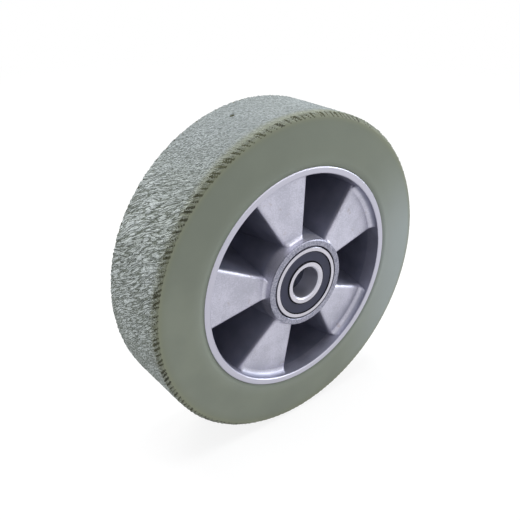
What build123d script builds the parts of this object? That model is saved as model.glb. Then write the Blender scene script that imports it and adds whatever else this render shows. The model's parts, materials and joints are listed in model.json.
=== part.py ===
from build123d import *
import math
import os

# Wheel for a floor scrubber: a bonded tyre on a die-cast centre that turns on two
# sealed ball bearings. The axle line is Y, the front looks along -Y and +Z is up.
# Lengths are in millimetres and angles in degrees.

# Tyre
tyre_diameter = 200.0
tread_width = 50.0
tyre_bead_width = 52.0
tyre_bead_land = 4.0
shoulder_bevel = 2.2
bond_line = 0.05

# Wheel centre casting
rim_diameter = 139.5
rim_width = 53.0
rim_face_width = 3.9
rim_draft = 3.0
boss_diameter = 54.6
boss_draft = 5.0
hub_length = 60.0
machined_edge_bevel = 0.5
flat_depth_at_boss = 1.6
flat_depth_at_rim = 5.6

# Five flats and five pockets on each side, the back ones behind the front flats
flat_count = 5
first_flat_angle = 29.7
pocket_half_angle = 17.4
pocket_spread = 2.4
web_thickness = 5.0
web_side_thickness = 4.0
flat_edge_round = 2.6
pocket_floor_round = 3.0
flat_flare_at_boss = 3.0
flat_flare_at_rim = 4.0
flare_round_at_boss = 1.5
flare_round_at_rim = 2.0
flare_overrun = 0.1
flare_end_inset = 0.3

# Deep-groove ball bearing, 20 x 47 x 14
bearing_bore = 20.0
bearing_outside = 47.0
bearing_width = 14.0
ball_diameter = 7.938
ball_count = 8
pitch_diameter = 33.5
groove_conformity = 0.52
ball_running_gap = 0.02
inner_shoulder_step = 2.35
outer_shoulder_step = 2.5
seal_land_diameter = 26.3
seal_seat_diameter = 40.6
seal_groove_depth = 0.5
seal_lip_width = 0.5
seal_groove_width = 1.3
bore_corner_bevel = 0.8
outside_corner_bevel = 1.1
seal_fit_gap = 0.03
seal_lip_gap = 0.06
seal_lip_clearance = 0.35
seal_edge_step = 0.35
seal_edge_width = 0.6

# Moulded crown cage that the balls snap into from one side
cage_shoulder_gap = 0.9
cage_ball_gap = 0.15
cage_back_wall = 0.75
cage_claw_height = 2.4

# Bearing seats and distance tube
seat_fit_gap = 0.01
seat_shoulder_diameter = 41.0
seat_mouth_bevel = 0.3
spacer_bore = 22.0
spacer_outside = 26.0

# Values that follow from the sizes above
tyre_radius = tyre_diameter / 2
rim_radius = rim_diameter / 2
rim_inner_radius = rim_radius - rim_face_width
boss_radius = boss_diameter / 2
ball_radius = ball_diameter / 2
pitch_radius = pitch_diameter / 2
inner_shoulder_radius = pitch_radius - inner_shoulder_step
outer_shoulder_radius = pitch_radius + outer_shoulder_step
flat_pitch = 360 / flat_count
bearing_offset = hub_length / 2 - bearing_width / 2


def turned(outline):
    """Solid of revolution about the axle from an outline in radius (X) and axle distance (Y)."""
    return revolve(outline, Axis.Y, 360)


def closed_outline(points):
    return make_face(Polyline(*points, close=True))


def mirrored(shape):
    """The same shape on the other side of the wheel's middle plane."""
    return mirror(shape, about=Plane.XZ)


def turned_to(shape, angle):
    """Turn about the axle by an angle that grows from +X towards +Z."""
    return Rot(0, -angle, 0) * shape


# Tyre

def tyre():
    """Tyre section: flat tread, bevelled shoulders and side faces that fall back from the rim."""
    half_tread = tread_width / 2
    half_bead = tyre_bead_width / 2
    bore = rim_radius + bond_line
    half = [
        (bore, half_bead),
        (bore + tyre_bead_land, half_bead),
        (tyre_radius - shoulder_bevel, half_tread),
        (tyre_radius, half_tread - shoulder_bevel),
    ]
    other_half = [(r, -y) for r, y in reversed(half)]
    return turned(closed_outline(half + other_half))


# Wheel centre

half_hub = hub_length / 2
half_rim = rim_width / 2
boss_slope = math.tan(math.radians(boss_draft))
rim_slope = math.tan(math.radians(rim_draft))
flat_slope = (flat_depth_at_rim - flat_depth_at_boss) / (rim_inner_radius - boss_radius)
side_clearance = 1.0


def flat_level(radius):
    """Distance of the flats' surface from the middle plane, at a radius."""
    return half_rim - flat_depth_at_boss - flat_slope * (radius - boss_radius)


def turned_blank():
    """The casting before its two sides are hollowed, with the bearing seats bored."""
    seat_radius = bearing_outside / 2 + seat_fit_gap
    seat_floor = half_hub - bearing_width
    bore_radius = seat_shoulder_diameter / 2
    middle = (boss_radius + rim_inner_radius) / 2
    half = [
        (bore_radius, seat_floor),
        (seat_radius, seat_floor),
        (seat_radius, half_hub - seat_mouth_bevel),
        (seat_radius + seat_mouth_bevel, half_hub),
        (middle, half_hub),
        (middle, half_rim),
        (rim_radius - machined_edge_bevel, half_rim),
        (rim_radius, half_rim - machined_edge_bevel),
    ]
    other_half = [(r, -y) for r, y in reversed(half)]
    return turned(closed_outline(half + other_half))


def front_ring_room():
    """Ring-shaped room between boss and rim, as deep as the pockets, with drafted walls."""
    top = half_hub + side_clearance
    bevel = machined_edge_bevel
    floor_at_boss = flat_level(boss_radius) - web_thickness
    floor_at_rim = flat_level(rim_inner_radius) - web_thickness
    outline = [
        (boss_radius - bevel, -top),
        (boss_radius - bevel, -half_hub),
        (boss_radius, -half_hub + bevel),
        (boss_radius + (half_hub + floor_at_boss) * boss_slope, floor_at_boss),
        (rim_inner_radius - (half_rim + floor_at_rim) * rim_slope, floor_at_rim),
        (rim_inner_radius, -half_rim + bevel),
        (rim_inner_radius + bevel, -half_rim),
        (rim_inner_radius + bevel, -top),
    ]
    return turned(closed_outline(outline))


def pocket_wall(side, outset):
    """Plane of one drafted side wall of the front pocket on +X, facing out of the pocket."""
    wall_depth = rim_width - 2 * flat_depth_at_boss - web_thickness
    draft = math.atan((2 * pocket_spread + web_side_thickness) / wall_depth)
    lean = math.radians(pocket_half_angle)
    across = Vector(-math.sin(lean), 0, side * math.cos(lean))
    facing = across * math.cos(draft) + Vector(0, 1, 0) * math.sin(draft)
    on_flat = Vector(0, -flat_level(boss_radius), 0) + across * pocket_spread
    return Plane(origin=on_flat + facing * outset, z_dir=facing)


def pocket_wedges(outset=0):
    """The room between the side walls of each front pocket, without end or floor."""
    wedge = Box(2 * rim_diameter, 4 * hub_length, 2 * rim_diameter, align=(Align.MIN, Align.CENTER, Align.CENTER))
    for side in (1, -1):
        wedge = split(wedge, bisect_by=pocket_wall(side, outset), keep=Keep.BOTTOM)
    return [turned_to(wedge, flat_pitch * (i + 0.5)) for i in range(flat_count)]


def front_spokes():
    """Everything below the front flats, apart from the five pockets between them."""
    below = closed_outline([
        (boss_radius / 2, -flat_level(boss_radius / 2)),
        (rim_diameter, -flat_level(rim_diameter)),
        (rim_diameter, hub_length),
        (boss_radius / 2, hub_length),
    ])
    return turned(below) - pocket_wedges()


def axle_distance(point):
    """Radius of a point from the axle line."""
    return math.hypot(point.X, point.Z)


def climbs_flare(edge, size):
    """True for an end edge of a flare, which rises with its arc from the flat to the wall."""
    rise = abs((edge @ 1).Y - (edge @ 0).Y)
    travel = abs(axle_distance(edge @ 1) - axle_distance(edge @ 0))
    return edge.geom_type != GeomType.LINE and min(rise, travel) > size / 2


def flare(wall_radius, size, side, end_round):
    """Ring pieces that lift the flats into the boss wall (side -1) or the rim wall (side 1).

    Their arc starts just under the flats and ends just behind the wall.
    """
    reach = size - flare_overrun
    centre_radius = wall_radius - side * reach
    centre_height = flat_level(centre_radius) + reach
    middle = math.radians(45)
    foot = (centre_radius, -(centre_height - size))
    through = (centre_radius + side * size * math.sin(middle), -(centre_height - size * math.cos(middle)))
    top = (centre_radius + side * size, -centre_height)
    behind = (centre_radius + 2 * side * size, -centre_height)
    under = (centre_radius + 2 * side * size, -(centre_height - 2 * size))
    start = (centre_radius, -(centre_height - 2 * size))
    section = make_face(Curve() + [ThreePointArc(foot, through, top), Polyline(top, behind, under, start, foot)])
    ring = turned(section) - pocket_wedges(flare_end_inset)
    return fillet([e for e in ring.edges() if climbs_flare(e, size)], end_round)


def runs_outward(edge):
    """True for an edge that runs from the boss towards the rim."""
    travel = abs(axle_distance(edge @ 1) - axle_distance(edge @ 0))
    return travel > (rim_inner_radius - boss_radius) / 2


def front_hollow():
    """All that is open on the front side: the room above the flats and the five pockets."""
    hollow = front_ring_room() - front_spokes()
    flat_edges = [e for e in hollow.edges() if runs_outward(e) and (e @ 0.5).Y < 0]
    hollow = fillet(flat_edges, flat_edge_round)
    floor_edges = [e for e in hollow.edges() if runs_outward(e) and (e @ 0.5).Y > 0]
    hollow = fillet(floor_edges, pocket_floor_round)
    boss_wall = boss_radius + (half_hub - flat_level(boss_radius)) * boss_slope
    rim_wall = rim_inner_radius - flat_depth_at_rim * rim_slope
    hollow -= flare(boss_wall, flat_flare_at_boss, -1, flare_round_at_boss)
    return hollow - flare(rim_wall, flat_flare_at_rim, 1, flare_round_at_rim)


def wheel_centre():
    hollow = front_hollow()
    front = turned_to(hollow, first_flat_angle)
    back = turned_to(mirrored(hollow), first_flat_angle + flat_pitch / 2)
    return turned_blank() - front - back


# Ball bearing, modelled about its own middle plane with its outboard face to the front

half_bearing = bearing_width / 2
groove_radius = groove_conformity * ball_diameter
groove_floor_gap = ball_radius + ball_running_gap
outer_groove_centre = pitch_radius + groove_floor_gap - groove_radius
inner_groove_centre = pitch_radius - groove_floor_gap + groove_radius
seal_groove_radius = seal_seat_diameter / 2 + seal_groove_depth


def raceway(centre, shoulder, floor):
    """Groove arc from shoulder to shoulder, through the groove's floor."""
    reach = math.sqrt(groove_radius ** 2 - (shoulder - centre) ** 2)
    return ThreePointArc((shoulder, -reach), (floor, 0), (shoulder, reach)), reach


def ring_face(lower, upper, arc):
    """Closed ring section from its two half outlines and the raceway arc between them."""
    section = make_face(Curve() + [Polyline(*lower), arc, Polyline(*upper), Line(upper[-1], lower[0])])
    return section


def outer_ring():
    outside = bearing_outside / 2
    shoulder = outer_shoulder_radius
    lip = seal_seat_diameter / 2
    arc, reach = raceway(outer_groove_centre, shoulder, outer_groove_centre + groove_radius)
    groove_top = half_bearing - seal_lip_width
    groove_bottom = groove_top - seal_groove_width
    lower = [
        (outside, -half_bearing),
        (lip, -half_bearing),
        (lip, -groove_top),
        (seal_groove_radius, -groove_top),
        (seal_groove_radius, -groove_bottom),
        (shoulder, -groove_bottom),
        (shoulder, -reach),
    ]
    upper = [(r, -y) for r, y in reversed(lower)]
    section = ring_face(lower, upper, arc)
    corners = section.vertices().group_by(Axis.X)[-1]
    return turned(chamfer(corners, outside_corner_bevel))


def inner_ring():
    bore = bearing_bore / 2
    shoulder = inner_shoulder_radius
    land = seal_land_diameter / 2
    arc, reach = raceway(inner_groove_centre, shoulder, inner_groove_centre - groove_radius)
    land_depth = seal_lip_width + seal_groove_width + seal_lip_clearance
    lower = [
        (bore, -half_bearing),
        (land, -half_bearing),
        (land, -(half_bearing - land_depth)),
        (shoulder, -(half_bearing - land_depth)),
        (shoulder, -reach),
    ]
    upper = [(r, -y) for r, y in reversed(lower)]
    section = ring_face(lower, upper, arc)
    corners = section.vertices().group_by(Axis.X)[0]
    return turned(chamfer(corners, bore_corner_bevel))


def outboard_seal():
    """Seal plate: a bead in the outer ring's groove, a raised membrane and a lip on the land."""
    bead = seal_groove_radius - seal_fit_gap
    lip = seal_land_diameter / 2 + seal_lip_gap
    top = half_bearing - seal_lip_width - seal_fit_gap
    bottom = half_bearing - seal_lip_width - seal_groove_width + seal_fit_gap
    edge_top = top - seal_edge_step
    outer_step = seal_seat_diameter / 2 - seal_edge_width
    inner_step = lip + seal_edge_width
    outline = [
        (lip, -edge_top),
        (inner_step, -edge_top),
        (inner_step, -top),
        (outer_step, -top),
        (outer_step, -edge_top),
        (bead, -edge_top),
        (bead, -bottom),
        (lip, -bottom),
    ]
    return turned(closed_outline(outline))


def ball(index):
    place = Pos(pitch_radius, 0, 0) * Sphere(ball_radius)
    return turned_to(place, 360 / ball_count * index)


def cage():
    """Crown cage: one ring with a round pocket for every ball, open towards the rear."""
    pocket = ball_radius + cage_ball_gap
    back = -pocket - cage_back_wall
    inner = inner_shoulder_radius + cage_shoulder_gap
    outer = outer_shoulder_radius - cage_shoulder_gap
    band = turned(closed_outline([(inner, back), (outer, back), (outer, cage_claw_height), (inner, cage_claw_height)]))
    rod = Rot(0, 90, 0) * Cylinder(pocket, bearing_outside, align=(Align.CENTER, Align.CENTER, Align.MIN))
    step = 360 / ball_count
    return band - [turned_to(rod, step * i) for i in range(ball_count)]


def bearing_pieces():
    """Every piece of one bearing by its name."""
    seal = outboard_seal()
    pieces = {
        "outer_ring": outer_ring(),
        "inner_ring": inner_ring(),
        "outboard_seal": seal,
        "inboard_seal": mirrored(seal),
        "cage": cage(),
    }
    for index in range(ball_count):
        pieces[f"ball_{index + 1}"] = ball(index)
    return pieces


def spacer_tube():
    length = hub_length - 2 * bearing_width
    section = [(spacer_bore / 2, -length / 2), (spacer_outside / 2, -length / 2),
               (spacer_outside / 2, length / 2), (spacer_bore / 2, length / 2)]
    return turned(closed_outline(section))


# Assembly

nodes = {"tyre": tyre(), "wheel_centre": wheel_centre(), "spacer_tube": spacer_tube()}
for name, piece in bearing_pieces().items():
    front_piece = Pos(0, -bearing_offset, 0) * piece
    nodes["front_" + name] = front_piece
    nodes["rear_" + name] = mirrored(front_piece)

os.makedirs("parts", exist_ok=True)
for name, piece in nodes.items():
    export_step(piece, f"parts/{name}.step")
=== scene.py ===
import json
import math
import random

import bmesh
import bpy
from mathutils import Matrix, Vector, noise


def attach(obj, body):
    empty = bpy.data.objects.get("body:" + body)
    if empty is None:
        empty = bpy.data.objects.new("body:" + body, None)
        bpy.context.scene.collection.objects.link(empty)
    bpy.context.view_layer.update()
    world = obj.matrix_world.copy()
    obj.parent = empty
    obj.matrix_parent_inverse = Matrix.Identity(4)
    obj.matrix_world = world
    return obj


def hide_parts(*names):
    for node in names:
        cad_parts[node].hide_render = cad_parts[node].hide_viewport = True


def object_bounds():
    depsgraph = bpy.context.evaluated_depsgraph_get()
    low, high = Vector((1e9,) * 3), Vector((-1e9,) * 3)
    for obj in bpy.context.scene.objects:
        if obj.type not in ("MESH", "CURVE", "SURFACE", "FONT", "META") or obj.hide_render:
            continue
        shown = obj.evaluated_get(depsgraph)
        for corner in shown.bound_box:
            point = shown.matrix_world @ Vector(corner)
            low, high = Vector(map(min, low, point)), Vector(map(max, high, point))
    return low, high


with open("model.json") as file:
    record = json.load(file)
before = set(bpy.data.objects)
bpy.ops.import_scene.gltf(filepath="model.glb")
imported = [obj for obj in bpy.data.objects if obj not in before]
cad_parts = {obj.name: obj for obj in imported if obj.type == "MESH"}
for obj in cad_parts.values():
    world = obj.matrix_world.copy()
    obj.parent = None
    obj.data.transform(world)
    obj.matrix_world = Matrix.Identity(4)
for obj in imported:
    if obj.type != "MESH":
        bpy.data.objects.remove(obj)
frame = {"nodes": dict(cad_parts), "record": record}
cad_low, cad_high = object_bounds()

MM = 0.001


# Sizes of the tyre, heights being distances from the wheel's middle plane

tyre_radius = 100 * MM
tyre_bore = 69.8 * MM
bead_radius = 73.8 * MM
half_bead = 26 * MM
half_tread = 25 * MM
shoulder = 2.2 * MM
nick_foot = 96.2 * MM
side_bulge = 0.07 * MM

sectors = 24
steps_per_sector = 50
tread_cells = 56
side_cells = 3
shoulder_cells = 2

# Torn nicks along the tread's two edges, and one pit near the top

nick_count = 176
nick_reach = 5.2 * MM
nick_depth = 0.28 * MM
nick_inset = 0.08 * MM
nick_jitter = 0.28
nick_width = (1.2, 2.2)
nick_length = (0.7, 1.1)
nick_openness = (0.7, 1.0)
nick_lean = (0.7, 1.4)
nick_sides = (1.4, 0.2)
nick_taper = 0.35
nick_foot_blend = 1.2 * MM
nicks_lost_on_right = 0.75
right_of_wheel = (25 * MM, 75 * MM)
pit_angle = math.radians(104.2)
pit_place = 7.6 * MM
pit_radius = 1.6 * MM
pit_squash = 1.4
pit_sides = (1.3, 0.5)
pit_depth = 1.2 * MM

# Cracked skin of the tread

skin_depth = 0.6 * MM
skin_margin = 0.5 * MM
fold_width = 1.0 * MM
fold_length = 6 * MM
fold_lean = 0.62
fold_swerve = 4 * MM
swerve_size = 20 * MM
crumb_size = 1.1 * MM
crumb_shift = Vector((7, 3, 5))
patch_size = 9 * MM
patch_shift = Vector((2, 8, 4))
folded_below = (86 * MM, 66 * MM)
folded_above = (-8 * MM, 32 * MM)

# Zones of the finishes: each pair is where a finish begins and where it is full

side_by_rim = (79 * MM, 71 * MM)
side_by_edge = (91 * MM, 98 * MM)
# The side's painted shade above the axle, and its painted sheen on the right
side_upper_half = (0.0, 55 * MM)
sheen_from_left = (30 * MM, 95 * MM)
sheen_from_top = (75 * MM, 0.0)
cracks_to_pebbles = (66 * MM, 88 * MM)
pebbles_to_cracks = (-50 * MM, 5 * MM)
# Where the tread's painted top-lit haze begins and is full
tread_top = (55 * MM, 99 * MM)
fringe_across = (14.5 * MM, 21.2 * MM)
fringe_radius = (94.5 * MM, 98.3 * MM)

# Where the painted shade of the pockets and the rim wall begins and is full
pocket_depth = (0.8 * MM, 4.5 * MM)
rim_wall_height = (26.2 * MM, 25.7 * MM)
rim_wall_radius = (64.0 * MM, 65.2 * MM)
turned_height = (26.2 * MM, 26.4 * MM)
turned_radius = (40 * MM, 41 * MM)
boss_end_height = (28.5 * MM, 29.2 * MM)

# Grime and painted shade at the outer ring's corner, painted light in the bore, painted shade along a
# seal's edges
outer_ring_corner = (22.3 * MM, 22.6 * MM)
bore_wall = (10.9 * MM, 10.7 * MM)
seal_edge = (2.7 * MM, 2.9 * MM)

# Slope of the casting's flats, from the boss to the rim, and the middle of a seal's width

flat_radius = (27.3 * MM, 65.85 * MM)
flat_height = (24.9 * MM, 20.9 * MM)
seal_middle = 16.9 * MM


# Shader node helpers

def join(tree, source, target):
    tree.links.new(source, target)


def add(tree, kind, **settings):
    node = tree.nodes.new(kind)
    for name, value in settings.items():
        setattr(node, name, value)
    return node


def feed(tree, socket, value):
    """Links a socket, or sets it where the value is a plain number or colour."""
    if isinstance(value, bpy.types.NodeSocket):
        join(tree, value, socket)
    else:
        socket.default_value = value


def sums(tree, operation, a, b=0.0, c=0.0):
    node = add(tree, "ShaderNodeMath", operation=operation)
    for socket, value in zip(node.inputs, (a, b, c)):
        feed(tree, socket, value)
    return node.outputs[0]


def times(tree, a, b):
    return sums(tree, "MULTIPLY", a, b)


def blend_colours(tree, share, a, b):
    node = add(tree, "ShaderNodeMix", data_type="RGBA", clamp_factor=True)
    feed(tree, node.inputs[0], share)
    feed(tree, node.inputs[6], a)
    feed(tree, node.inputs[7], b)
    return node.outputs[2]


def blend_values(tree, share, a, b):
    node = add(tree, "ShaderNodeMix", data_type="FLOAT")
    feed(tree, node.inputs[0], share)
    feed(tree, node.inputs[2], a)
    feed(tree, node.inputs[3], b)
    return node.outputs[0]


def remap(tree, value, low, high, to_low=0.0, to_high=1.0, smooth=True):
    node = add(tree, "ShaderNodeMapRange", interpolation_type="SMOOTHSTEP" if smooth else "LINEAR")
    feed(tree, node.inputs["Value"], value)
    node.inputs["From Min"].default_value = low
    node.inputs["From Max"].default_value = high
    node.inputs["To Min"].default_value = to_low
    node.inputs["To Max"].default_value = to_high
    return node.outputs["Result"]


def place(tree):
    """Object coordinates, in metres."""
    return add(tree, "ShaderNodeTexCoord").outputs["Object"]


def parts_of(tree, vector):
    node = add(tree, "ShaderNodeSeparateXYZ")
    join(tree, vector, node.inputs[0])
    return node.outputs


def mottle(tree, coordinates, size, detail=3.0, roughness=0.55, stretch=(1.0, 1.0, 1.0), shift=0.0):
    """Soft noise whose patches are about the given size in metres."""
    mapping = add(tree, "ShaderNodeMapping")
    join(tree, coordinates, mapping.inputs["Vector"])
    mapping.inputs["Scale"].default_value = [s / size for s in stretch]
    mapping.inputs["Location"].default_value = (shift, shift, shift)
    texture = add(tree, "ShaderNodeTexNoise")
    join(tree, mapping.outputs[0], texture.inputs["Vector"])
    texture.inputs["Scale"].default_value = 1.0
    texture.inputs["Detail"].default_value = detail
    texture.inputs["Roughness"].default_value = roughness
    return texture.outputs["Fac"]


def colour(red, green, blue):
    """A colour given as it shows on screen, 0 to 255, made linear for a shader."""
    channels = [c / 255 for c in (red, green, blue)]
    return tuple(c / 12.92 if c < 0.04045 else ((c + 0.055) / 1.055) ** 2.4 for c in channels) + (1.0,)


def grey(value):
    """A value in a colour's form, so that two values can be blended as colours are."""
    return (value, value, value, 1.0)


def new_group(name, inputs, outputs):
    group = bpy.data.node_groups.new(name, "ShaderNodeTree")
    for label, kind, default in inputs:
        socket = group.interface.new_socket(label, in_out="INPUT", socket_type=kind)
        socket.default_value = default
    for label, kind in outputs:
        group.interface.new_socket(label, in_out="OUTPUT", socket_type=kind)
    return group, group.nodes.new("NodeGroupInput"), group.nodes.new("NodeGroupOutput")


def turning_marks_group():
    """Fine rings round the axle, as turning leaves them on a faced surface or a bore."""
    tree, into, out = new_group("turning_marks", [("Pitch", "NodeSocketFloat", 0.4 * MM),
                                                  ("Waver", "NodeSocketFloat", 0.3)],
                                [("Height", "NodeSocketFloat"), ("Radius", "NodeSocketFloat")])
    coordinates = place(tree)
    x, y, z = parts_of(tree, coordinates)
    radius = sums(tree, "SQRT", sums(tree, "ADD", times(tree, x, x), times(tree, z, z)))
    turns = sums(tree, "DIVIDE", sums(tree, "ADD", radius, y), into.outputs["Pitch"])
    texture = add(tree, "ShaderNodeTexNoise", noise_dimensions="1D")
    join(tree, turns, texture.inputs["W"])
    texture.inputs["Scale"].default_value = 1.0
    texture.inputs["Detail"].default_value = 3.0
    drift = mottle(tree, coordinates, 12 * MM, detail=2.0)
    height = sums(tree, "ADD", texture.outputs["Fac"], times(tree, drift, into.outputs["Waver"]))
    join(tree, height, out.inputs["Height"])
    join(tree, radius, out.inputs["Radius"])
    return tree


def grain_group():
    """Fine, even grain with a coarser drift, for blasted, moulded and ground skins."""
    tree, into, out = new_group("grain", [("Size", "NodeSocketFloat", 0.5 * MM),
                                          ("Drift", "NodeSocketFloat", 20 * MM)],
                                [("Height", "NodeSocketFloat"), ("Tone", "NodeSocketFloat")])
    coordinates = place(tree)

    def noise_at(size, detail):
        scaled = add(tree, "ShaderNodeVectorMath", operation="SCALE")
        join(tree, coordinates, scaled.inputs[0])
        join(tree, sums(tree, "DIVIDE", 1.0, size), scaled.inputs["Scale"])
        texture = add(tree, "ShaderNodeTexNoise")
        join(tree, scaled.outputs[0], texture.inputs["Vector"])
        texture.inputs["Scale"].default_value = 1.0
        texture.inputs["Detail"].default_value = detail
        return texture.outputs["Fac"]

    join(tree, noise_at(into.outputs["Size"], 2.0), out.inputs["Height"])
    join(tree, noise_at(into.outputs["Drift"], 5.0), out.inputs["Tone"])
    return tree


turning_marks = turning_marks_group()
grain = grain_group()


def use_group(tree, group, **values):
    node = add(tree, "ShaderNodeGroup", node_tree=group)
    for name, value in values.items():
        feed(tree, node.inputs[name], value)
    return node.outputs


def new_material(name):
    material = bpy.data.materials.new(name)
    material.use_nodes = True
    tree = material.node_tree
    tree.nodes.clear()
    shader = add(tree, "ShaderNodeBsdfPrincipled")
    output = add(tree, "ShaderNodeOutputMaterial")
    join(tree, shader.outputs[0], output.inputs["Surface"])
    return material, tree, shader


def bumps(tree, shader, layers):
    """Chains bump layers of (height, distance in metres, strength) into the shader's normal."""
    normal = None
    for height, distance, strength in layers:
        bump = add(tree, "ShaderNodeBump")
        join(tree, height, bump.inputs["Height"])
        bump.inputs["Distance"].default_value = distance
        bump.inputs["Strength"].default_value = strength
        if normal is not None:
            join(tree, normal, bump.inputs["Normal"])
        normal = bump.outputs[0]
    join(tree, normal, shader.inputs["Normal"])


# Finishes

def crinkles(tree, coordinates):
    """Wrinkled skin of the tread, 0 in a crease. Thin cracks run across it, leaning, between
    narrow folds, and give way to pebbles at the tread's top and foot."""
    x, y, z = parts_of(tree, coordinates)
    bend = sums(tree, "MULTIPLY_ADD", mottle(tree, coordinates, 30 * MM, detail=1.0), 0.1, -0.05)
    leaning = add(tree, "ShaderNodeVectorRotate", rotation_type="Y_AXIS")
    join(tree, coordinates, leaning.inputs["Vector"])
    join(tree, sums(tree, "MULTIPLY_ADD", y, fold_lean / tyre_radius, bend), leaning.inputs["Angle"])
    along = leaning.outputs[0]
    folds = mottle(tree, along, 1.35 * MM, detail=0.6, roughness=0.5, stretch=(1.0, 0.2, 1.0))
    off_crack = sums(tree, "ABSOLUTE", sums(tree, "SUBTRACT", folds, 0.5))
    ribbons = remap(tree, off_crack, 0.0, 0.12, 0.405, 0.555)
    pebbles = mottle(tree, along, 1.0 * MM, detail=2.0, roughness=0.5, stretch=(1.0, 0.8, 1.0), shift=5)
    share = times(tree, remap(tree, z, *cracks_to_pebbles, 0.8, 0.2),
                  remap(tree, z, *pebbles_to_cracks, 0.3, 1.0))
    return remap(tree, blend_values(tree, share, pebbles, ribbons), 0.38, 0.62, smooth=False)


def side_colour(tree, coordinates, radius, tone):
    """Smooth side of the tyre: paler by the rim, darker above the axle with painted shade, and lighter on
    the right with a painted sheen.
    """
    x, y, z = parts_of(tree, coordinates)
    side = blend_colours(tree, tone, colour(112, 118, 105), colour(119, 125, 111))
    by_rim = times(tree, remap(tree, radius, *side_by_rim), 0.5)
    side = blend_colours(tree, by_rim, side, colour(130, 137, 126))
    by_edge = times(tree, remap(tree, radius, *side_by_edge), 0.45)
    side = blend_colours(tree, by_edge, side, colour(106, 110, 88))
    # Painted shade: the side's upper half is darkened, as where less light falls on it.
    upper_painted_shade = remap(tree, z, *side_upper_half, 0.0, 0.5)
    side = blend_colours(tree, upper_painted_shade, side, colour(100, 107, 94))
    # Painted sheen: a pale bluish haze on the right of the side, standing in for a soft reflection of
    # light.
    painted_sheen = times(tree, remap(tree, x, *sheen_from_left), remap(tree, z, *sheen_from_top))
    return blend_colours(tree, times(tree, painted_sheen, 0.75), side, colour(142, 150, 151))


def tyre_finish():
    """Cast polyurethane: satin sides, and a torn, dusty skin on the tread, with painted light and shade on
    its crinkles and a painted bluish haze towards the top of the wheel.
    """
    material, tree, shader = new_material("tyre_polyurethane")
    coordinates = place(tree)
    x, y, z = parts_of(tree, coordinates)
    relief = add(tree, "ShaderNodeAttribute", attribute_name="relief").outputs["Fac"]
    torn = add(tree, "ShaderNodeAttribute", attribute_name="torn").outputs["Fac"]
    tread = add(tree, "ShaderNodeAttribute", attribute_name="tread").outputs["Fac"]
    rings = use_group(tree, turning_marks, Pitch=0.9 * MM, Waver=0.5)
    tone = use_group(tree, grain, Size=0.5 * MM, Drift=22 * MM)["Tone"]
    side = side_colour(tree, coordinates, rings["Radius"], remap(tree, tone, 0.3, 0.7))

    creases = crinkles(tree, coordinates)
    dust = mottle(tree, coordinates, 30 * MM)
    speck = mottle(tree, coordinates, 0.6 * MM)
    ragged = mottle(tree, coordinates, 0.9 * MM, shift=9)
    # Painted light and shade: the skin is coloured by its height, lighter on the ridges and darker in the
    # creases, as light and shade fall on the relief.
    ridge = blend_colours(tree, remap(tree, dust, 0.35, 0.65), colour(178, 185, 184), colour(165, 172, 168))
    gap = blend_colours(tree, remap(tree, speck, 0.3, 0.7), colour(84, 90, 79), colour(104, 111, 101))
    raised = sums(tree, "ADD", times(tree, creases, 0.75), times(tree, relief, 0.25))
    skin = blend_colours(tree, remap(tree, raised, 0.18, 0.78), gap, ridge)
    # Painted top light: towards the top of the wheel the skin's light and shade flatten into a bluish grey
    # haze, and its bump flattens too.
    skin_kept_below_top_light = remap(tree, z, *tread_top, 1.0, 0.4)
    skin = blend_colours(tree, skin_kept_below_top_light, colour(122, 129, 133), skin)
    base = blend_colours(tree, tread, side, skin)

    off_middle = sums(tree, "MAXIMUM", times(tree, y, -1.0), times(tree, y, 0.7))
    off_edge = sums(tree, "MULTIPLY_ADD", ragged, 4 * MM, off_middle)
    fringe = remap(tree, sums(tree, "MULTIPLY_ADD", skin_kept_below_top_light, -6 * MM, off_edge), *fringe_across)
    fringe = times(tree, fringe, remap(tree, rings["Radius"], *fringe_radius))
    base = blend_colours(tree, times(tree, fringe, 0.6), base, colour(124, 127, 102))
    torn_here = sums(tree, "ADD", torn, sums(tree, "MULTIPLY_ADD", ragged, 0.9, -0.45))
    tear = blend_colours(tree, remap(tree, dust, 0.4, 0.6), colour(48, 50, 34), colour(74, 76, 54))
    base = blend_colours(tree, remap(tree, torn_here, 0.36, 0.56), base, tear)
    join(tree, base, shader.inputs["Base Color"])

    satin = remap(tree, tone, 0.3, 0.7, 0.44, 0.52)
    join(tree, sums(tree, "MULTIPLY_ADD", tread, 0.32, satin), shader.inputs["Roughness"])
    shader.inputs["Specular IOR Level"].default_value = 0.4
    skin_height = times(tree, sums(tree, "MULTIPLY_ADD", speck, 0.25, creases), tread)
    skin_height = times(tree, skin_height, skin_kept_below_top_light)
    bumps(tree, shader, [(rings["Height"], 0.03 * MM, 0.25), (skin_height, 1.5 * MM, 1.0)])
    return material


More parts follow.
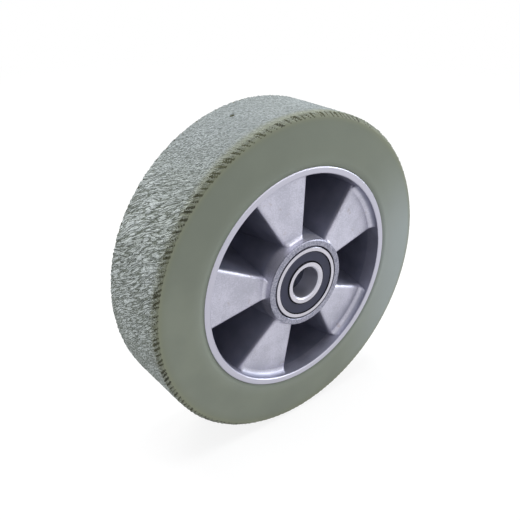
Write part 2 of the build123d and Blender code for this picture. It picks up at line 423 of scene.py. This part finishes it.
def aluminium_finish():
    """Aluminium die casting: satin blasted flats, pockets and rim wall painted darker as shade, turned rim
    and boss faces.
    """
    material, tree, shader = new_material("cast_aluminium")
    coordinates = place(tree)
    x, y, z = parts_of(tree, coordinates)
    rings = use_group(tree, turning_marks, Pitch=0.35 * MM, Waver=0.2)
    fine = use_group(tree, grain, Size=0.6 * MM, Drift=14 * MM)
    radius = rings["Radius"]
    height = sums(tree, "ABSOLUTE", y)
    flat_level = remap(tree, radius, *flat_radius, *flat_height, smooth=False)
    # Painted shade: the pockets below the flats' level and the rim wall are marked for a darker colour.
    in_pocket = remap(tree, sums(tree, "SUBTRACT", flat_level, height), *pocket_depth)
    rim_wall = times(tree, remap(tree, height, *rim_wall_height), remap(tree, radius, *rim_wall_radius))
    deep = sums(tree, "MAXIMUM", in_pocket, times(tree, rim_wall, 0.75))
    turned = times(tree, remap(tree, height, *turned_height), remap(tree, radius, *turned_radius))
    boss_end = remap(tree, height, *boss_end_height)

    speckle = mottle(tree, coordinates, 0.8 * MM)
    tone = times(tree, sums(tree, "ADD", fine["Tone"], speckle), 0.5)
    satin = blend_colours(tree, remap(tree, tone, 0.36, 0.64), colour(176, 176, 189), colour(200, 199, 213))
    stains = remap(tree, mottle(tree, coordinates, 5 * MM, detail=4.0, shift=3), 0.62, 0.74)
    satin = blend_colours(tree, times(tree, stains, 0.4), satin, colour(150, 137, 132))
    # Painted shade: a darker grey for the pockets and rim wall, standing in for the shade and dark
    # reflections inside them; these are also rougher.
    pocket_shade = blend_colours(tree, remap(tree, fine["Tone"], 0.3, 0.7), colour(124, 126, 143),
                         colour(141, 142, 160))
    scuffed = blend_colours(tree, remap(tree, speckle, 0.35, 0.65), colour(126, 127, 142),
                            colour(168, 168, 182))
    base = blend_colours(tree, deep, satin, pocket_shade)
    base = blend_colours(tree, turned, base, colour(188, 187, 200))
    base = blend_colours(tree, boss_end, base, scuffed)
    join(tree, base, shader.inputs["Base Color"])

    shader.inputs["Metallic"].default_value = 1.0
    roughness = blend_colours(tree, turned, grey(0.48), grey(0.42))
    join(tree, blend_colours(tree, deep, roughness, grey(0.6)), shader.inputs["Roughness"])
    ring_height = times(tree, rings["Height"], turned)
    grain_height = times(tree, fine["Height"], sums(tree, "SUBTRACT", 1.0, turned))
    bumps(tree, shader, [(ring_height, 0.04 * MM, 0.5), (grain_height, 0.12 * MM, 0.5)])
    return material


def steel_finish(name, tint, roughness, pitch):
    """Turned steel, rougher in the bore and painted paler there as light caught in it, with grime and
    painted shade in the gap round the outer ring's corner.
    """
    material, tree, shader = new_material(name)
    rings = use_group(tree, turning_marks, Pitch=pitch, Waver=0.1)
    fine = use_group(tree, grain, Size=0.4 * MM, Drift=8 * MM)
    darker = tuple(c * 0.88 for c in tint[:3]) + (1.0,)
    base = blend_colours(tree, remap(tree, fine["Tone"], 0.3, 0.7), darker, tint)
    # Grime and painted shade: a dark ring in the gap round the outer ring's corner.
    gap = remap(tree, rings["Radius"], *outer_ring_corner)
    base = blend_colours(tree, gap, base, colour(58, 58, 68))
    # Painted light: the bore is made paler, standing in for light caught inside it; it is also rougher.
    bore = remap(tree, rings["Radius"], *bore_wall)
    base = blend_colours(tree, times(tree, bore, 0.7), base, colour(200, 201, 212))
    join(tree, base, shader.inputs["Base Color"])
    shader.inputs["Metallic"].default_value = 1.0
    satin = remap(tree, fine["Tone"], 0.3, 0.7, roughness * 0.85, roughness * 1.15)
    join(tree, sums(tree, "MULTIPLY_ADD", bore, 0.25, satin), shader.inputs["Roughness"])
    bumps(tree, shader, [(rings["Height"], 0.02 * MM, 0.4), (fine["Height"], 0.01 * MM, 0.3)])
    return material


def moulded_finish(name, tint, other, edge, roughness):
    """Moulded rubber or plastic, darker along its inner and outer edges with painted shade."""
    material, tree, shader = new_material(name)
    fine = use_group(tree, grain, Size=0.3 * MM, Drift=5 * MM)
    radius = use_group(tree, turning_marks, Pitch=0.5 * MM, Waver=0.0)["Radius"]
    # Painted shade: darker along the inner and outer edges, standing in for the dark gap beside the rings.
    off_middle = sums(tree, "ABSOLUTE", sums(tree, "SUBTRACT", radius, seal_middle))
    edge_shade_share = remap(tree, off_middle, *seal_edge)
    base = blend_colours(tree, remap(tree, fine["Tone"], 0.3, 0.7), tint, other)
    join(tree, blend_colours(tree, edge_shade_share, base, edge), shader.inputs["Base Color"])
    satin = remap(tree, fine["Tone"], 0.3, 0.7, roughness - 0.06, roughness + 0.06)
    join(tree, satin, shader.inputs["Roughness"])
    join(tree, sums(tree, "MULTIPLY_ADD", edge_shade_share, -0.25, 0.3), shader.inputs["Specular IOR Level"])
    bumps(tree, shader, [(fine["Height"], 0.04 * MM, 0.5)])
    return material


finishes = {
    "tyre_polyurethane": tyre_finish(),
    "cast_aluminium": aluminium_finish(),
    "bearing_steel": steel_finish("bearing_steel", colour(202, 200, 210), 0.26, 0.18 * MM),
    "ball_steel": steel_finish("ball_steel", colour(222, 222, 226), 0.1, 0.4 * MM),
    "spacer_steel": steel_finish("spacer_steel", colour(128, 130, 142), 0.36, 0.5 * MM),
    "seal_rubber": moulded_finish("seal_rubber", colour(40, 42, 62), colour(47, 49, 70),
                                  colour(14, 15, 24), 0.5),
    "cage_plastic": moulded_finish("cage_plastic", colour(196, 186, 158), colour(206, 197, 170),
                                   colour(180, 170, 142), 0.45),
}

slot_of = {part["node"]: part["material_slot"] for part in frame["record"]["subparts"]}
for name, node in frame["nodes"].items():
    for material_slot in node.material_slots:
        material_slot.material = finishes[slot_of[name]]


# Tyre

def ease(low, high, value):
    share = min(max((value - low) / (high - low), 0.0), 1.0)
    return share * share * (3 - 2 * share)


def tear_row(seed):
    """Angle, width, length, depth and lean of every torn nick along one tread edge."""
    chance = random.Random(seed)
    pitch = 2 * math.pi / nick_count
    return [(pitch * (index + chance.uniform(-nick_jitter, nick_jitter)), chance.uniform(*nick_width) * MM,
             chance.uniform(*nick_length), chance.uniform(*nick_openness), chance.uniform(*nick_lean))
            for index in range(nick_count)]


def tear_depth(row, angle, inward):
    """How far a nick is open at an angle, for a point that far in from the tyre's edge."""
    nearest = round(angle * nick_count / (2 * math.pi))
    open_by = 0.0
    for index in (nearest - 1, nearest, nearest + 1):
        centre, width, length, depth, lean = row[index % nick_count]
        offset = (angle - centre + math.pi) % (2 * math.pi) - math.pi
        sideways = abs(offset * tyre_radius - lean * inward) / (width / 2)
        along = ease(nick_reach * length, nick_reach * length * nick_taper, inward)
        open_by = max(open_by, depth * along * ease(*nick_sides, sideways))
    return open_by


def pit_here(angle, across):
    """1 in the middle of the pit, 0 outside it."""
    aside = (angle - pit_angle) * tyre_radius
    return ease(*pit_sides, math.hypot(aside, (across - pit_place) * pit_squash) / pit_radius)


def skin_relief(angle, across):
    """Cracked skin of the tread: 1 on a ridge, 0 in a gap. Ridges run across the tread, leaning."""
    here = Vector((math.cos(angle), 0, math.sin(angle))) * tyre_radius
    here.y = across
    swerve = noise.noise(here / swerve_size) * fold_swerve
    turn = angle - (fold_lean * across + swerve) / tyre_radius
    ridges = noise.noise(Vector((math.cos(turn) * tyre_radius / fold_width, across / fold_length,
                                 math.sin(turn) * tyre_radius / fold_width)))
    crumbs = noise.noise(here / crumb_size + crumb_shift)
    patches = noise.noise(here / patch_size + patch_shift)
    folded = ease(*folded_below, here.z) * ease(*folded_above, here.z)
    folds = (0.3 + 0.75 * folded) * ridges
    return min(max(0.55 + folds + (0.65 - 0.2 * folded) * crumbs + 0.1 * patches, 0.0), 1.0)


def tyre_profile(mesh):
    """Section of the tyre as a closed loop of edges, with the tread cut fine."""
    outline = [(tyre_bore, half_bead), (bead_radius, half_bead), (nick_foot, half_tread + side_bulge),
               (tyre_radius - shoulder, half_tread), (tyre_radius, half_tread - shoulder)]
    corners = [mesh.verts.new((radius, -height, 0)) for radius, height in outline]
    corners += [mesh.verts.new((radius, height, 0)) for radius, height in reversed(outline)]
    edges = [mesh.edges.new((a, b)) for a, b in zip(corners, corners[1:] + corners[:1])]
    cuts = {1: side_cells, 2: 1, 3: shoulder_cells, 4: tread_cells - 1,
            5: shoulder_cells, 6: 1, 7: side_cells}
    for index, count in cuts.items():
        bmesh.ops.subdivide_edges(mesh, edges=[edges[index]], cuts=count)


def tyre_mesh():
    """The section turned through one sector, which is then repeated round the axle."""
    mesh = bmesh.new()
    tyre_profile(mesh)
    sector_angle = 2 * math.pi / sectors
    bmesh.ops.spin(mesh, geom=mesh.verts[:] + mesh.edges[:], cent=(0, 0, 0), axis=(0, 1, 0),
                   dvec=(0, 0, 0), angle=sector_angle, steps=steps_per_sector)
    sector = mesh.verts[:] + mesh.edges[:] + mesh.faces[:]
    for index in range(1, sectors):
        copy = bmesh.ops.duplicate(mesh, geom=sector)["geom"]
        bmesh.ops.rotate(mesh, verts=[item for item in copy if isinstance(item, bmesh.types.BMVert)],
                         cent=(0, 0, 0), matrix=Matrix.Rotation(index * sector_angle, 3, "Y"))
    bmesh.ops.remove_doubles(mesh, verts=mesh.verts, dist=0.01 * MM)
    bmesh.ops.recalc_face_normals(mesh, faces=mesh.faces)
    return mesh


def wear_tread(mesh):
    """Sinks the cracks, nicks and pit, and notes them on the mesh for the finish to read."""
    relief = mesh.verts.layers.float.new("relief")
    torn = mesh.verts.layers.float.new("torn")
    tread = mesh.verts.layers.float.new("tread")
    rows = {-1: tear_row(11), 1: tear_row(23)}
    for vertex in mesh.verts:
        x, across, z = vertex.co
        radius = math.hypot(x, z)
        if radius < nick_foot - skin_margin:
            vertex[relief] = 1.0
            continue
        angle = math.atan2(z, x) % (2 * math.pi)
        side = 1 if across > 0 else -1
        inward = max(half_tread - abs(across), 0)
        on_tread = ease(tyre_radius - shoulder - skin_margin, tyre_radius - skin_margin, radius)
        on_shoulder = ease(nick_foot + nick_foot_blend, tyre_radius - shoulder, radius)
        kept = 1 - nicks_lost_on_right * ease(*right_of_wheel, x)
        ridge = skin_relief(angle, across)
        nick = tear_depth(rows[side], angle, inward) * on_shoulder * kept
        pit = pit_here(angle, across)
        vertex[relief] = ridge
        vertex[torn] = max(nick, pit)
        vertex[tread] = on_tread
        sink = skin_depth * (1 - ridge) * on_tread + nick_depth * nick + pit_depth * pit
        inset = nick_inset * nick * (1 - on_tread)
        scale = (radius - sink) / radius
        vertex.co = (x * scale, across - side * inset, z * scale)


def make_tyre():
    mesh = tyre_mesh()
    wear_tread(mesh)
    data = bpy.data.meshes.new("tyre_body")
    mesh.to_mesh(data)
    mesh.free()
    data.polygons.foreach_set("use_smooth", [True] * len(data.polygons))
    tyre = bpy.data.objects.new("tyre_body", data)
    bpy.context.scene.collection.objects.link(tyre)
    data.materials.append(finishes["tyre_polyurethane"])
    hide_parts("tyre")
    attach(tyre, "wheel")


make_tyre()


# Camera: fitted to the ellipses of the bearing, boss, rim and tyre

face_from_camera = Vector((24.84, 13.04, 386.97)) * MM
face_turn = 0.732
face_tip = 0.375
rim_front = -26.5 * MM
focal_pixels = 650.6
image_width = 520
shift_pixels = (-0.7, -1.2)
sensor_width = 36


def make_camera():
    """The wheel's axes are worked out in the camera's frame, x right, y down, z ahead."""
    normal = Vector((math.sin(face_turn) * math.cos(face_tip), math.sin(face_tip),
                     -math.cos(face_turn) * math.cos(face_tip)))
    tilt = math.atan(math.tan(face_tip) / math.cos(face_turn))
    wheel_y = -normal
    wheel_z = Vector((0, -math.cos(tilt), -math.sin(tilt)))
    wheel_x = wheel_y.cross(wheel_z)
    to_world = Matrix((wheel_x, wheel_y, wheel_z))
    position = to_world @ -face_from_camera + Vector((0, rim_front, 0))
    turn = to_world @ Matrix(((1, 0, 0), (0, -1, 0), (0, 0, -1)))
    camera = bpy.data.objects.new("camera", bpy.data.cameras.new("camera"))
    bpy.context.scene.collection.objects.link(camera)
    camera.matrix_world = Matrix.Translation(position) @ turn.to_4x4()
    camera.data.sensor_width = sensor_width
    camera.data.lens = focal_pixels / image_width * sensor_width
    camera.data.shift_x, camera.data.shift_y = [pixels / image_width for pixels in shift_pixels]
    camera.data.clip_start = 0.01
    bpy.context.scene.camera = camera


make_camera()


# Floor, world and lamps, in metres and watts

floor_reach = 6
floor_whitens = (0.3, 1.2)
floor_white_share = (0.86, 1.0)
room_light = (0.315, 0.32, 0.335, 1)
plain_white = (1, 1, 1, 1)
lamps = [
    ("back_lamp", (0, 1.3, 1.4), 27, 1.0, (1.0, 1.0, 1.0)),
    ("top_lamp", (0.1, -0.05, 1.8), 24, 1.0, (1.0, 1.0, 1.0)),
    ("right_lamp", (1.3, -0.2, 1.4), 8, 1.0, (1.0, 1.0, 1.0)),
    ("low_right_lamp", (0.9, -0.35, 0.3), 4, 0.4, (0.9, 0.96, 1.0)),
    ("left_lamp", (-1.4, 1.2, 0.8), 10, 1.0, (1.0, 1.0, 1.0)),
]


def seen_directly(tree):
    """1 for what the camera sees, also in a mirror or through glass, and 0 for soft light."""
    path = add(tree, "ShaderNodeLightPath")
    mirrored = sums(tree, "MAXIMUM", path.outputs["Is Glossy Ray"], path.outputs["Is Transmission Ray"])
    return sums(tree, "MAXIMUM", path.outputs["Is Camera Ray"], mirrored)


def make_floor():
    """Pale floor that keeps the wheel's shadow, and is plain white further off."""
    mesh = bmesh.new()
    bmesh.ops.create_grid(mesh, x_segments=1, y_segments=1, size=floor_reach)
    bmesh.ops.translate(mesh, verts=mesh.verts, vec=(0, 0, cad_low.z))
    data = bpy.data.meshes.new("floor")
    mesh.to_mesh(data)
    mesh.free()
    floor = bpy.data.objects.new("floor", data)
    bpy.context.scene.collection.objects.link(floor)
    material, tree, shader = new_material("floor_white")
    shader.inputs["Base Color"].default_value = grey(0.93)
    shader.inputs["Roughness"].default_value = 0.9
    light = add(tree, "ShaderNodeEmission")
    light.inputs["Color"].default_value = plain_white
    away = add(tree, "ShaderNodeVectorMath", operation="LENGTH")
    join(tree, place(tree), away.inputs[0])
    white = remap(tree, away.outputs["Value"], *floor_whitens, *floor_white_share)
    blend = add(tree, "ShaderNodeMixShader")
    join(tree, times(tree, seen_directly(tree), white), blend.inputs["Fac"])
    join(tree, shader.outputs[0], blend.inputs[1])
    join(tree, light.outputs[0], blend.inputs[2])
    output = next(node for node in tree.nodes if node.type == "OUTPUT_MATERIAL")
    join(tree, blend.outputs[0], output.inputs["Surface"])
    data.materials.append(material)


def make_world():
    world = bpy.data.worlds.new("studio")
    bpy.context.scene.world = world
    world.use_nodes = True
    tree = world.node_tree
    tree.nodes.clear()
    background = add(tree, "ShaderNodeBackground")
    shown = blend_colours(tree, seen_directly(tree), room_light, plain_white)
    join(tree, shown, background.inputs["Color"])
    output = add(tree, "ShaderNodeOutputWorld")
    join(tree, background.outputs[0], output.inputs["Surface"])


def make_lamp(name, stand, power, size, tint):
    """A square lamp that faces the wheel."""
    lamp = bpy.data.objects.new(name, bpy.data.lights.new(name, "AREA"))
    lamp.data.energy = power
    lamp.data.color = tint
    lamp.data.size = size
    lamp.location = stand
    lamp.rotation_euler = (-Vector(stand)).to_track_quat("-Z", "Y").to_euler()
    bpy.context.scene.collection.objects.link(lamp)


make_floor()
make_world()
for lamp in lamps:
    make_lamp(*lamp)

bpy.context.scene.view_settings.view_transform = "Standard"
